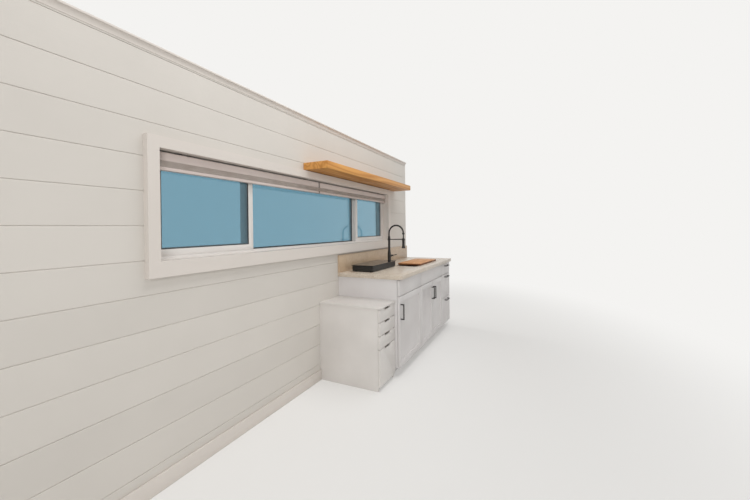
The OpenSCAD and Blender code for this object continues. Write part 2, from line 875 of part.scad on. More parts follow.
module stack_drawer(i) {
  zs = stack_zs[i];
  in_x0 = stack_cab_x + board_t + runner_w;
  in_x1 = run_x1 - board_t - runner_w;
  floor_z = max(zs[0] + drawer_foot, toe_h + board_t + drawer_lift);
  head_z1 = min(zs[1] - drawer_head, cab_h - board_t - drawer_clear);
  color("white") {
    slab(stack_cab_x + reveal / 2, run_x1 - reveal / 2, front_back_d, front_d, zs[0], zs[1]);
    drawer_box(in_x0, in_x1, front_back_d - stack_drawer_d, front_back_d, floor_z, head_z1);
  }
}

module stack_pull(i) {
  color("#202020")
    pull(stack_cab_x + stack_cab_w / 2, stack_zs[i][1] - drawer_pull_drop, false);
}

module low_drawer(i) {
  zs = low_zs[i];
  in_x0 = low_x0 + low_side_t + runner_w;
  in_x1 = run_x - low_side_t - runner_w;
  mid = (low_x0 + run_x) / 2;
  color("white") {
    difference() {
      slab(low_x0 + reveal / 2, run_x - reveal, low_front_back, low_d, zs[0], zs[1]);
      slab(
        mid - slot_l / 2, mid + slot_l / 2, low_front_back - cut, low_d + cut,
        zs[1] - slot_h, zs[1] + cut
      );
    }
    drawer_box(
      in_x0, in_x1, low_front_back - low_drawer_d, low_front_back,
      zs[0] + drawer_foot, zs[1] - drawer_head
    );
  }
}

module stack_drawer_1() stack_drawer(0);
module stack_drawer_2() stack_drawer(1);
module stack_drawer_3() stack_drawer(2);
module stack_pull_1() stack_pull(0);
module stack_pull_2() stack_pull(1);
module stack_pull_3() stack_pull(2);
module low_drawer_1() low_drawer(0);
module low_drawer_2() low_drawer(1);
module low_drawer_3() low_drawer(2);
module low_drawer_4() low_drawer(3);

wall_plates();
wall_studs();
inner_lining();
outer_cladding();
outer_trim();
jamb_liner();
casing_rails();
casing_sides();
window_frame();
sliding_sashes();
window_glass();
blind_rails();
blind_pleats();
crown_trim();
baseboard();
floating_shelf();
hob_cabinet();
sink_cabinet();
drawer_cabinet();
toe_kick();
false_fronts();
worktop();
upstand();
sink_bowl();
sink_board();
hob();
low_unit_cabinet();
low_unit_top();
tap_body();
tap_spout();
tap_spring();
tap_lever();
hob_door();
hob_door_pull();
sink_door_left();
sink_door_left_pull();
sink_door_right();
sink_door_right_pull();
stack_drawer_1();
stack_drawer_2();
stack_drawer_3();
stack_pull_1();
stack_pull_2();
stack_pull_3();
low_drawer_1();
low_drawer_2();
low_drawer_3();
low_drawer_4();
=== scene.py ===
# Looks of a small house's side wall: boards, strip window, blinds, shelf and fitted kitchenette.
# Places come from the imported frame. Lengths are in metres and colours are sRGB hex values.
import json
import math

import bmesh
import bpy
from mathutils import Matrix, Vector

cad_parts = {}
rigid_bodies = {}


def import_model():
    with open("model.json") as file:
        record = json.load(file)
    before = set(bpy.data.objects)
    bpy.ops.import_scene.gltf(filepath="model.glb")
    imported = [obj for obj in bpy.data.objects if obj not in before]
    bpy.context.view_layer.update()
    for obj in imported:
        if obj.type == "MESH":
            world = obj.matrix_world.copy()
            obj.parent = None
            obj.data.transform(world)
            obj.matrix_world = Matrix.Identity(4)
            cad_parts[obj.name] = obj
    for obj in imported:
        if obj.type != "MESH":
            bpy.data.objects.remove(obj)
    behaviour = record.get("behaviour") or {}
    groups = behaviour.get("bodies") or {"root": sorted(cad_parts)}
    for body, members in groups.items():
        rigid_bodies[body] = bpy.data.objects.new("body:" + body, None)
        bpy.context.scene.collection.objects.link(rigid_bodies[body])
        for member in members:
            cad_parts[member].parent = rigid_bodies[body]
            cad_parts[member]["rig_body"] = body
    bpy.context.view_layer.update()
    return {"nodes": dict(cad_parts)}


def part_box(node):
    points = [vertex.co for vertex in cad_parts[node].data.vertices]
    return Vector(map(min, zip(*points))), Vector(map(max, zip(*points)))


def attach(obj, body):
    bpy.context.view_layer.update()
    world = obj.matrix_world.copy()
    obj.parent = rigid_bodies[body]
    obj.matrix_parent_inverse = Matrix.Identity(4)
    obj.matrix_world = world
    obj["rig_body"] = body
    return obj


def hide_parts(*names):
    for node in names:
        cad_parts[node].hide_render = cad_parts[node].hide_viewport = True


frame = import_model()
nodes = frame["nodes"]
print("frame loaded:", len(nodes), "nodes")

mm = 0.001


# Sizes that are written in millimetres
def inMetres(sizes):
    return {name: size * mm for name, size in sizes.items()}


def linear(hexColour):
    parts = [int(hexColour[i:i + 2], 16) / 255 for i in (1, 3, 5)]
    return [c / 12.92 if c <= 0.04045 else ((c + 0.055) / 1.055) ** 2.4 for c in parts] + [1.0]


# Each input is a value, a socket, or a node whose first output is meant
def feed(tree, node, inputs):
    for socket, value in inputs.items():
        if isinstance(value, bpy.types.Node):
            value = value.outputs[0]
        if isinstance(value, bpy.types.NodeSocket):
            tree.links.new(value, node.inputs[socket])
        else:
            node.inputs[socket].default_value = value


def addNode(tree, kind, inputs=None, **settings):
    node = tree.nodes.new(kind)
    for name, value in settings.items():
        setattr(node, name, value)
    feed(tree, node, inputs or {})
    return node


def doMath(tree, operation, *parts):
    return addNode(tree, "ShaderNodeMath", dict(enumerate(parts)), operation=operation)


def times(tree, *parts):
    return doMath(tree, "MULTIPLY", *parts)


def joinXYZ(tree, parts):
    return addNode(tree, "ShaderNodeCombineXYZ", parts)


def splitXYZ(tree):
    place = addNode(tree, "ShaderNodeTexCoord")
    return addNode(tree, "ShaderNodeSeparateXYZ", {0: place.outputs["Object"]}).outputs


# Materials: the size of each pattern is given in millimetres along X, Y and Z
def newMaterial(name, colour, roughness, metallic=0.0, ior=1.5):
    material = bpy.data.materials.new(name)
    material.use_nodes = True
    tree = material.node_tree
    shader = tree.nodes["Principled BSDF"]
    look = {"Base Color": linear(colour), "Roughness": roughness, "Metallic": metallic, "IOR": ior}
    feed(tree, shader, look)
    return material, tree, shader


def clouds(tree, size, detail=3.0, roughness=0.5, distortion=0.0):
    sizes = (size,) * 3 if isinstance(size, (int, float)) else size
    place = addNode(tree, "ShaderNodeTexCoord")
    sized = addNode(tree, "ShaderNodeMapping", {
        "Vector": place.outputs["Object"], "Scale": [1 / (part * mm) for part in sizes],
    })
    return addNode(tree, "ShaderNodeTexNoise", {
        "Vector": sized, "Scale": 1.0, "Detail": detail, "Roughness": roughness, "Distortion": distortion,
    })


def addBump(tree, shader, height, depth, strength=1.0):
    bump = addNode(tree, "ShaderNodeBump", {"Height": height, "Distance": depth, "Strength": strength})
    feed(tree, shader, {"Normal": bump})


def blend(tree, factor, low, high, start=0.0, end=1.0):
    ramp = addNode(tree, "ShaderNodeValToRGB", {0: factor})
    for element, place, colour in zip(ramp.color_ramp.elements, (start, end), (low, high)):
        element.position = place
        element.color = linear(colour)
    return ramp


def paint(tree, shader, *ramp):
    feed(tree, shader, {"Base Color": blend(tree, *ramp)})


def dapple(tree, shader, size, low, high):
    paint(tree, shader, clouds(tree, size), low, high, 0.3, 0.7)


def varyGloss(tree, shader, factor, low, high):
    gloss = addNode(tree, "ShaderNodeMapRange", {"Value": factor, "To Min": low, "To Max": high})
    feed(tree, shader, {"Roughness": gloss})


# Joints are open to "deep", which is less than a board's thickness, as is twice its round "edge"
boards = inMetres({"pitch": 175, "firstJoint": 140, "joint": 2, "deep": 4, "edge": 3, "board": 9})


# Satin paint brushed along wood: fine streaks along X, and each board its own shade
def paintedWood(name, low, high, roughness, pitch=boards["pitch"], joint=boards["firstJoint"], ownShare=0.35):
    material, tree, shader = newMaterial(name, high, roughness)
    above = doMath(tree, "SUBTRACT", splitXYZ(tree)["Z"], joint)
    course = doMath(tree, "FLOOR", doMath(tree, "DIVIDE", above, pitch))
    chance = addNode(tree, "ShaderNodeTexWhiteNoise", {"W": course}, noise_dimensions="1D")
    own = times(tree, chance, ownShare)
    paint(tree, shader, doMath(tree, "MULTIPLY_ADD", clouds(tree, 450, 2), 1 - ownShare, own), low, high)
    addBump(tree, shader, clouds(tree, (400, 6, 6), 4, 0.6), 0.3 * mm, 0.5)
    return material


# Sawn or oiled wood: contour lines of a stretched noise make the growth rings, and fine fibres run along
def wood(name, low, high, roughness, ringSize, fibre=0.35, rings=9):
    material, tree, shader = newMaterial(name, high, roughness)
    field = clouds(tree, ringSize, 1.5, 0.45, 0.3)
    ring = doMath(tree, "PINGPONG", times(tree, field, rings * 2), 1.0)
    fine = clouds(tree, [max(part / 40, 1.5) for part in ringSize], 5, 0.7)
    total = doMath(tree, "MULTIPLY_ADD", fine, fibre, times(tree, ring, 1 - fibre))
    paint(tree, shader, total, low, high, 0.1, 0.8)
    varyGloss(tree, shader, total, roughness + 0.1, roughness - 0.06)
    addBump(tree, shader, fine, 0.2 * mm, 0.6)
    return material


# Lacquer, foil or moulded plastic: an even colour with a fine ripple and a slow change in its gloss
def lacquer(name, low, high, roughness, ripple=0.05, rippleSize=3.0):
    material, tree, shader = newMaterial(name, high, roughness)
    dapple(tree, shader, 260, low, high)
    varyGloss(tree, shader, clouds(tree, 90, 4), roughness - 0.05, roughness + 0.07)
    addBump(tree, shader, clouds(tree, rippleSize, 2), ripple * mm, 0.5)
    return material


# Stone-look laminate: specks 3 to 9 mm wide over a clouded ground
def speckled(name, ground, cloud, darkSpeck, paleSpeck, roughness):
    material, tree, shader = newMaterial(name, ground, roughness)
    base = blend(tree, clouds(tree, 70), ground, cloud, 0.35, 0.7)
    for size, tone, share in ((3.2, darkSpeck, 0.58), (4.4, paleSpeck, 0.6), (9, darkSpeck, 0.7)):
        mask = addNode(tree, "ShaderNodeMapRange", {
            "Value": clouds(tree, size, 1), "From Min": share, "From Max": share + 0.05,
        })
        mixed = {"Factor": mask, "A": base, "B": linear(tone)}
        base = addNode(tree, "ShaderNodeMix", mixed, data_type="RGBA").outputs["Result"]
    feed(tree, shader, {"Base Color": base})
    addBump(tree, shader, clouds(tree, 1.6, 2), 0.04 * mm, 0.4)
    return material


# Woven polyester; its threads are drawn 2 mm apart, coarser than real, so that they show
def weave(name, low, high, pitch=2 * mm):
    material, tree, shader = newMaterial(name, high, 0.85)
    feed(tree, shader, {"Sheen Weight": 0.2})
    axes = splitXYZ(tree)
    waves = [doMath(tree, "SINE", times(tree, axes[axis], math.tau / pitch)) for axis in "XY"]
    dapple(tree, shader, 70, low, high)
    addBump(tree, shader, times(tree, *waves), 0.2 * mm, 0.5)
    return material


# Brushed steel: scratches 1 mm wide and 250 mm long draw its shine out
def brushedSteel(name, colour, roughness):
    material, tree, shader = newMaterial(name, colour, roughness, metallic=1.0)
    addBump(tree, shader, clouds(tree, (250, 1, 1)), 0.05 * mm, 0.4)
    return material


# Powder coat on steel: matt, with the orange peel of baked powder in grains of 0.8 mm
def powderCoat(name, low, high, roughness):
    material, tree, shader = newMaterial(name, high, roughness)
    dapple(tree, shader, 40, low, high)
    addBump(tree, shader, clouds(tree, 0.8, 2), 0.08 * mm, 0.5)
    return material


# Coated float glass: nearly clear, with a cool blue-green cast
def windowGlass(name, tint):
    material, tree, shader = newMaterial(name, tint, 0.0, ior=1.45)
    feed(tree, shader, {"Transmission Weight": 1.0})
    return material


finish = {
    "boards": paintedWood("satin painted pine boards", "#CCC7C0", "#DAD5CE", 0.42),
    "outerBoards": paintedWood("weathered painted outer boards", "#C2BEB6", "#D3CFC7", 0.6),
    "trim": paintedWood("satin painted trim", "#D3CCC5", "#DDD6CF", 0.38, pitch=5.0, joint=-1.0),
    "darkTrim": lacquer("dark bronze painted trim", "#26211E", "#302B28", 0.45),
    "timberFlat": wood("sawn spruce plates", "#B58C5E", "#DBBC8C", 0.75, (1800, 90, 90), rings=12),
    "timberUpright": wood("sawn spruce studs", "#B58C5E", "#DBBC8C", 0.75, (90, 90, 1800), rings=12),
    "vinyl": lacquer("white moulded vinyl", "#DCD8D4", "#E4E0DC", 0.35),
    "glass": windowGlass("coated window glass", "#AECCD8"),
    # Black rubber of the gaskets; the drain-hole discs and the weep slots take the same black as painted
    # shade
    "rubber": lacquer("black extruded rubber", "#131313", "#1C1C1C", 0.6),
    "spacer": newMaterial("aluminium spacer bar", "#8E9092", 0.4, metallic=1.0)[0],
    "blindRail": lacquer("satin coated blind rail", "#CABCB6", "#D5C8C2", 0.4),
    # Grey of the clips and end caps, darkened in part as painted shade of the gap over the headrails
    "clipGreyAndShade": lacquer("grey clips and end caps darkened as painted shade", "#6F6864", "#7B7470", 0.5),
    "blindFabric": weave("woven blind fabric", "#DCCFC6", "#E8DDD5"),
    "pine": wood("oiled pine shelf", "#B67733", "#DA9F55", 0.45, (2400, 110, 110), rings=8),
    "cabinet": lacquer("sprayed white cabinet lacquer", "#D2CECD", "#DAD7D6", 0.36),
    "plywood": wood("birch plywood", "#D2BD99", "#E2D0B0", 0.5, (90, 900, 90), rings=5),
    "lowUnit": lacquer("white foil on board", "#D6D2CE", "#DFDBD7", 0.33, ripple=0.03, rippleSize=6),
    "worktop": speckled("stone look laminate", "#C9BBA9", "#D6CABB", "#9C8670", "#EDE6DC", 0.3),
    "upstand": speckled("tan laminate upstand", "#BCA489", "#C8B298", "#A0866A", "#D9C8B2", 0.35),
    "steel": brushedSteel("brushed stainless steel", "#C6C7C8", 0.42),
    "beech": wood("oiled beech board", "#B57A45", "#D69C64", 0.5, (900, 60, 60), rings=7),
    # Beech made darker for the board's upright sides: painted shade, as if only the top were lit
    "beechSidesShade": wood("beech sides darkened as painted shade", "#5E3519", "#7E4D2A", 0.55, (900, 60, 60), rings=7),
    "blackGlass": lacquer("black ceramic glass", "#0B0B0C", "#111112", 0.1, ripple=0.0),
    "blackPlastic": lacquer("black moulded plastic", "#171615", "#1F1E1C", 0.45),
    "blackMetal": powderCoat("matt black powder coat", "#171412", "#221E1B", 0.4),
    "hose": lacquer("black braided hose", "#121111", "#1A1918", 0.55, ripple=0.2, rippleSize=1.5),
    "greyPrint": newMaterial("grey printed mark", "#6B6A67", 0.3)[0],
    "zinc": brushedSteel("zinc plated steel", "#A8A9AA", 0.35),
}
print("materials made:", len(finish))


# Meshes
def makeObject(name, data):
    piece = bpy.data.objects.new(name, data)
    bpy.context.scene.collection.objects.link(piece)
    return piece


def shade(mesh, smooth):
    mesh.shade_flat()
    if smooth:
        mesh.shade_smooth()
        mesh.set_sharp_from_angle(angle=math.radians(smooth))


def meshFrom(name, bm, smooth=None):
    mesh = bpy.data.meshes.new(name)
    bmesh.ops.recalc_face_normals(bm, faces=bm.faces)
    bm.to_mesh(mesh)
    bm.free()
    shade(mesh, smooth)
    return makeObject(name, mesh)


def settle(piece, body, finishName, replaced=()):
    piece.data.materials.clear()
    piece.data.materials.append(finish[finishName])
    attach(piece, body)
    if replaced:
        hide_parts(*replaced)


def addPiece(name, bm, finishName, smooth=None, replaced=(), body="wall"):
    settle(meshFrom(name, bm, smooth), body, finishName, replaced)


def mergedCopy(node):
    source = nodes[node].data
    bm = bmesh.new()
    points = [bm.verts.new(v.co) for v in source.vertices]
    for polygon in source.polygons:
        bm.faces.new([points[i] for i in polygon.vertices])
    bmesh.ops.remove_doubles(bm, verts=bm.verts, dist=1e-6)
    return bm


def roundEdges(bm, edges, width, segments=2, clamp=False):
    bmesh.ops.bevel(
        bm, geom=edges, offset=width, segments=segments, profile=0.5, affect="EDGES", clamp_overlap=clamp
    )


# A CAD node's shape with its flat faces joined up and its sharp edges eased, and any door front thinned
def eased(node, name, width, sharp=40, standsOff=False):
    bm = mergedCopy(node)
    bmesh.ops.dissolve_limit(bm, angle_limit=math.radians(0.5), verts=bm.verts, edges=bm.edges)
    if standsOff:
        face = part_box(node)[0].y
        for vert in bm.verts:
            if abs(vert.co.y - face - front["thick"]) < front["near"]:
                vert.co.y = face + front["thick"] - front["bumper"]
            elif abs(vert.co.y - face - front["panel"]) < front["near"]:
                vert.co.y += front["deeper"]
    edges = [e for e in bm.edges if len(e.link_faces) == 2 and e.calc_face_angle() > math.radians(sharp)]
    roundEdges(bm, edges, width, clamp=True)
    return meshFrom(name, bm, 25)


# Lowest and highest corner of each separate solid in a CAD node, from left to right
def solidBoxes(node):
    bm = mergedCopy(node)
    left = set(bm.verts)
    found = []
    while left:
        todo = [left.pop()]
        lo, hi = Vector(todo[0].co), Vector(todo[0].co)
        while todo:
            vert = todo.pop()
            lo, hi = Vector(map(min, lo, vert.co)), Vector(map(max, hi, vert.co))
            for edge in vert.link_edges:
                other = edge.other_vert(vert)
                if other in left:
                    left.remove(other)
                    todo.append(other)
        found.append((lo, hi))
    bm.free()
    return sorted(found, key=lambda box: (box[0].x, box[0].z))


def addBox(bm, lo, hi):
    made = bmesh.ops.create_cube(bm, size=1.0)
    lo, hi = Vector(lo), Vector(hi)
    place = Matrix.Translation((lo + hi) / 2) @ Matrix.Diagonal((*(hi - lo), 1))
    bmesh.ops.transform(bm, matrix=place, verts=made["verts"])


# Skin over a row of rings with as many points each, capped at both ends or else looped
def addRings(bm, rings, looped=False):
    made = [[bm.verts.new(point) for point in ring] for ring in rings]
    for low, high in zip(made, made[1:] + (made[:1] if looped else [])):
        for i in range(len(low)):
            j = (i + 1) % len(low)
            bm.faces.new((low[i], low[j], high[j], high[i]))
    if not looped:
        bm.faces.new(list(reversed(made[0])))
        bm.faces.new(made[-1])


def circle(radius, steps, height=0):
    turns = [math.tau * i / steps for i in range(steps)]
    return [Vector((radius * math.cos(a), radius * math.sin(a), height)) for a in turns]


# Turned form round an axis: the profile lists radius and height in millimetres, from foot to head
def addTurned(bm, profile, place, steps=40, unit=mm):
    rings = [circle(radius, steps, height) for radius, height in profile]
    addRings(bm, [[place @ (point * unit) for point in ring] for ring in rings])


# Round tube along a line of points, closed at both ends
def addTube(bm, points, radius, steps=12):
    rings = []
    side = None
    for i, point in enumerate(points):
        ahead = (points[min(i + 1, len(points) - 1)] - points[max(i - 1, 0)]).normalized()
        side = side or ahead.orthogonal().normalized()
        side = (side - ahead * side.dot(ahead)).normalized()
        up = ahead.cross(side)
        rings.append([point + side * spot.x + up * spot.y for spot in circle(radius, steps)])
    addRings(bm, rings)


# Plate with round corners: the profile lists how far its outline is drawn in, and the height
def addPlate(bm, lo, hi, radius, profile, steps=8):
    middles = (
        (hi.x - radius, hi.y - radius), (lo.x + radius, hi.y - radius),
        (lo.x + radius, lo.y + radius), (hi.x - radius, lo.y + radius),
    )
    rings = []
    for inset, height in profile:
        whole = circle(radius - inset, steps * 4, height) * 2
        rings.append([
            Vector((x, y, 0)) + point for quarter, (x, y) in enumerate(middles)
            for point in whole[quarter * steps:(quarter + 1) * steps + 1]
        ])
    addRings(bm, rings)


# Geometry Nodes: the inputs are listed by kind, and each tree also takes the material that it sets
def newTree(name, **inputs):
    tree = bpy.data.node_groups.new(name, "GeometryNodeTree")
    tree.interface.new_socket("Geometry", in_out="INPUT", socket_type="NodeSocketGeometry")
    for kind, labels in {**inputs, "Material": "finish"}.items():
        for label in labels.split():
            tree.interface.new_socket(label, in_out="INPUT", socket_type="NodeSocket" + kind)
    tree.interface.new_socket("Geometry", in_out="OUTPUT", socket_type="NodeSocketGeometry")
    return tree, addNode(tree, "NodeGroupInput").outputs


def endTree(tree, geometry, given):
    real = addNode(tree, "GeometryNodeRealizeInstances", {0: geometry})
    painted = addNode(tree, "GeometryNodeSetMaterial", {"Geometry": real, "Material": given["finish"]})
    addNode(tree, "NodeGroupOutput", {0: painted})
    return tree


def runTree(name, tree, finishName, values, source=None, smooth=None):
    maker = makeObject(name + "Maker", source or bpy.data.meshes.new(name + "Empty"))
    modifier = maker.modifiers.new("maker", "NODES")
    modifier.node_group = tree
    values = {**values, "finish": finish[finishName]}
    for item in tree.interface.items_tree:
        if item.item_type == "SOCKET" and item.in_out == "INPUT" and item.name in values:
            modifier[item.identifier] = values[item.name]
    evaluated = maker.evaluated_get(bpy.context.evaluated_depsgraph_get())
    mesh = bpy.data.meshes.new_from_object(evaluated)
    mesh.name = name
    bpy.data.objects.remove(maker)
    shade(mesh, smooth)
    return makeObject(name, mesh)


# One round peg on each point: nail heads, screw heads, and black discs of painted shade for drain holes
def pegTree():
    tree, given = newTree("pegs", Float="radius height", Int="sides")
    peg = addNode(tree, "GeometryNodeMeshCylinder", {
        "Vertices": given["sides"], "Radius": given["radius"], "Depth": given["height"],
    })
    copies = addNode(tree, "GeometryNodeInstanceOnPoints", {"Points": given["Geometry"], "Instance": peg})
    return endTree(tree, copies, given)


pegMaker = pegTree()


def addPegs(name, spots, place, radius, height, finishName, sides=12):
    mesh = bpy.data.meshes.new(name + "Spots")
    mesh.from_pydata(spots, [], [])
    sizes = {"radius": radius, "height": height, "sides": sides}
    piece = runTree(name, pegMaker, finishName, sizes, mesh)
    piece.data.transform(place)
    settle(piece, "wall", finishName)


# Courses of rounded boards sunk into a backing, cut to the wall's height and round its window
def boardTree():
    tree, given = newTree(
        "boardCourses", Float="length height whole pitch firstJoint joint deep edge board", Int="count",
        Vector="holeMiddle holeSize"
    )
    tall = doMath(tree, "SUBTRACT", given["pitch"], given["joint"])
    outline = addNode(
        tree, "GeometryNodeCurvePrimitiveQuadrilateral", {"Width": given["board"], "Height": tall}
    )
    rounded = {"Curve": outline, "Radius": given["edge"], "Count": 2}
    soft = addNode(tree, "GeometryNodeFilletCurve", rounded, mode="POLY")
    start, end = (joinXYZ(tree, {0: times(tree, given["length"], share)}) for share in (-0.5, 0.5))
    line = addNode(tree, "GeometryNodeCurvePrimitiveLine", {"Start": start, "End": end})
    level = addNode(tree, "GeometryNodeSetCurveNormal", {0: line}, mode="Z_UP")
    board = addNode(
        tree, "GeometryNodeCurveToMesh", {"Curve": level, "Profile Curve": soft, "Fill Caps": True}
    )
    first = doMath(tree, "MULTIPLY_ADD", given["pitch"], -0.5, given["firstJoint"])
    forward = times(tree, doMath(tree, "SUBTRACT", given["board"], given["whole"]), 0.5)
    ladder = addNode(tree, "GeometryNodeMeshLine", {
        "Count": given["count"], "Start Location": joinXYZ(tree, {1: forward, 2: first}),
        "Offset": joinXYZ(tree, {2: given["pitch"]}),
    })
    copies = addNode(tree, "GeometryNodeInstanceOnPoints", {"Points": ladder, "Instance": board})
    courses = addNode(tree, "GeometryNodeRealizeInstances", {0: copies})

    def block(size, middle):
        cube = addNode(tree, "GeometryNodeMeshCube", {"Size": size})
        return addNode(tree, "GeometryNodeTransform", {"Geometry": cube, "Translation": middle})

    height = given["height"]
    behind = doMath(tree, "SUBTRACT", given["whole"], given["deep"])
    middle = {1: times(tree, given["deep"], 0.5), 2: times(tree, height, 0.5)}
    backing = block(joinXYZ(tree, {0: given["length"], 1: behind, 2: height}), joinXYZ(tree, middle))
    longer = times(tree, given["length"], 1.1)
    cutter = joinXYZ(tree, {0: longer, 1: height, 2: height})
    cuts = [block(cutter, joinXYZ(tree, {2: times(tree, height, share)})) for share in (1.5, -0.5)]
    cuts.append(block(given["holeSize"], given["holeMiddle"]))
    joined = addNode(tree, "GeometryNodeMeshBoolean", {1: courses}, operation="UNION", solver="EXACT")
    feed(tree, joined, {1: backing})
    shaped = addNode(tree, "GeometryNodeMeshBoolean", {0: joined}, operation="DIFFERENCE", solver="EXACT")
    for cut in cuts:
        feed(tree, shaped, {1: cut})
    return endTree(tree, shaped, given)


def layBoards(name, node, holeNode, finishName, turned):
    lo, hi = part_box(node)
    holeLo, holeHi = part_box(holeNode)
    middle, holeMiddle = (lo + hi) / 2, (holeLo + holeHi) / 2
    side = -1 if turned else 1
    piece = runTree(name, boardTree(), finishName, {
        **boards, "length": hi.x - lo.x, "height": hi.z - lo.z, "whole": hi.y - lo.y,
        "count": math.ceil((hi.z - boards["firstJoint"]) / boards["pitch"]) + 2,
        "holeMiddle": ((holeMiddle.x - middle.x) * side, 0, holeMiddle.z),
        "holeSize": (holeHi.x - holeLo.x, 1, holeHi.z - holeLo.z),
    })
    turn = Matrix.Rotation(math.pi if turned else 0, 4, "Z")
    piece.data.transform(Matrix.Translation((middle.x, middle.y, 0)) @ turn)
    settle(piece, "wall", finishName, (node,))


layBoards("innerBoards", "inner_lining", "jamb_liner", "boards", False)
layBoards("outerBoards", "outer_cladding", "window_frame", "outerBoards", True)
print("boards laid")

# Round nail heads in two rows on each outer board, over every stud
nails = inMetres({"radius": 3.2, "proud": 1.6, "fromJoint": 28, "clear": 30, "apart": 60})


def driveNails():
    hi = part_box("outer_cladding")[1]
    trimLo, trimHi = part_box("outer_trim")
    columns = []
    for a, b in solidBoxes("wall_studs"):
        x = (a.x + b.x) / 2
        if not columns or x - columns[-1] > nails["apart"]:
            columns.append(x)
    rows = []
    for i in range(math.ceil(hi.z / boards["pitch"]) + 1):
        joint = boards["firstJoint"] + (i - 1) * boards["pitch"]
        rows += [joint + nails["fromJoint"], joint + boards["pitch"] - nails["fromJoint"]]
    clear = nails["clear"]
    spots = [
        (x, z, 0) for x in columns for z in rows
        if clear < z < hi.z - clear and not (
            trimLo.x - clear < x < trimHi.x + clear and trimLo.z - clear < z < trimHi.z + clear
        )
    ]
    upright = Matrix.Translation((0, hi.y, 0)) @ Matrix.Rotation(math.pi / 2, 4, "X")
    addPegs(
        "outerNails", spots, upright, nails["radius"], nails["proud"], "outerBoards",
        sides=10
    )


driveNails()
print("nails driven")

# Doors and drawer fronts stand off the cabinets by the height of their bumpers, and door panels lie deep
front = inMetres({"thick": 22, "bumper": 2, "panel": 8, "deeper": 3, "near": 1, "bareFrom": 22.5})

# Pieces that keep the CAD shape, with eased edges: edge in millimetres, record slot, finish
white, whiteFoil = ("cabinet_white", "cabinet"), ("low_unit_white", "lowUnit")
easedPieces = {
    "wall_plates": (2, "framing_timber", "timberFlat"),
    "wall_studs": (2, "framing_timber", "timberUpright"),
    "jamb_liner": (1, "white_trim", "trim"), "baseboard": (3, "white_trim", "trim"),
    "window_frame": (2, "window_vinyl", "vinyl"), "sliding_sashes": (2.5, "window_vinyl", "vinyl"),
    "floating_shelf": (3, "pine", "pine"), "worktop": (4, "worktop", "worktop"),
    "upstand": (2, "upstand", "upstand"), "toe_kick": (1, *white), "false_fronts": (1.5, *white),
    "hob_cabinet": (1.2, *white), "sink_cabinet": (1.2, *white), "drawer_cabinet": (1.2, *white),
    "sink_board": (2.5, "board_wood", "beech"), "low_unit_cabinet": (0.8, *whiteFoil),
    "low_unit_top": (2, *whiteFoil),
}
doorPulls = {name: name + "_pull" for name in ("hob_door", "sink_door_left", "sink_door_right")}
drawerPulls = {f"stack_drawer_{number}": f"stack_pull_{number}" for number in (1, 2, 3)}
for name, pull in {**doorPulls, **drawerPulls}.items():
    easedPieces[name] = (1.5, *white)
    easedPieces[pull] = (1.5, "black_metal", "blackMetal")
for number in (1, 2, 3, 4):
    easedPieces[f"low_drawer_{number}"] = (1.2, *whiteFoil)


def camelName(node):
    head, *rest = node.split("_")
    return head + "".join(part.capitalize() for part in rest)


# A second finish on the faces that pass a test
def refinish(piece, finishName, test):
    piece.data.materials.append(finish[finishName])
    for polygon in piece.data.polygons:
        polygon.material_index = int(test(polygon))


def easePieces(levelFrom=0.6):
    standing = ("false_fronts", *doorPulls, *drawerPulls)
    for node, (edge, slotName, finishName) in easedPieces.items():
        piece = eased(node, camelName(node), edge * mm, standsOff=node in standing)
        settle(piece, nodes[node]["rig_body"], finishName, (node,))
        if node == "sink_board":
            # The board's upright sides take the darker beech, as painted shade
            refinish(piece, "beechSidesShade", lambda face: abs(face.normal.z) < levelFrom)
        # Behind its painted front a drawer is a bare plywood box
        if "_drawer_" in node:
            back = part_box(node)[0].y + front["bareFrom"]
            refinish(piece, "plywood", lambda face: face.center.y > back)


easePieces()
print("flat pieces eased")


# Frame in one piece round an opening, from the low and the high corner of its outside and its inside
def addFrame(bm, outer, inner, near, far):
    addRings(bm, [
        [(lo.x, y, lo.z), (hi.x, y, lo.z), (hi.x, y, hi.z), (lo.x, y, hi.z)]
        for (lo, hi), y in ((outer, near), (inner, near), (inner, far), (outer, far))
    ], looped=True)


# The casing round the window, filled and painted as one frame
def fitCasing(edge=2.5 * mm):
    left, right = solidBoxes("casing_sides")
    lo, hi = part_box("casing_rails")
    inner = (Vector((left[1].x, 0, left[0].z)), Vector((right[0].x, 0, left[1].z)))
    bm = bmesh.new()
    addFrame(bm, (lo, hi), inner, lo.y, hi.y)
    roundEdges(bm, [e for e in bm.edges if e.calc_face_angle() > 1], edge)
    addPiece("windowCasing", bm, "trim", 25, ("casing_rails", "casing_sides"))


fitCasing()

# Crown hollowed out under a rounded lip, and a strip under the worktop's front edge
strips = inMetres({"lip": 12, "round": 3, "foot": 2.5, "batten": 5, "back": 2})


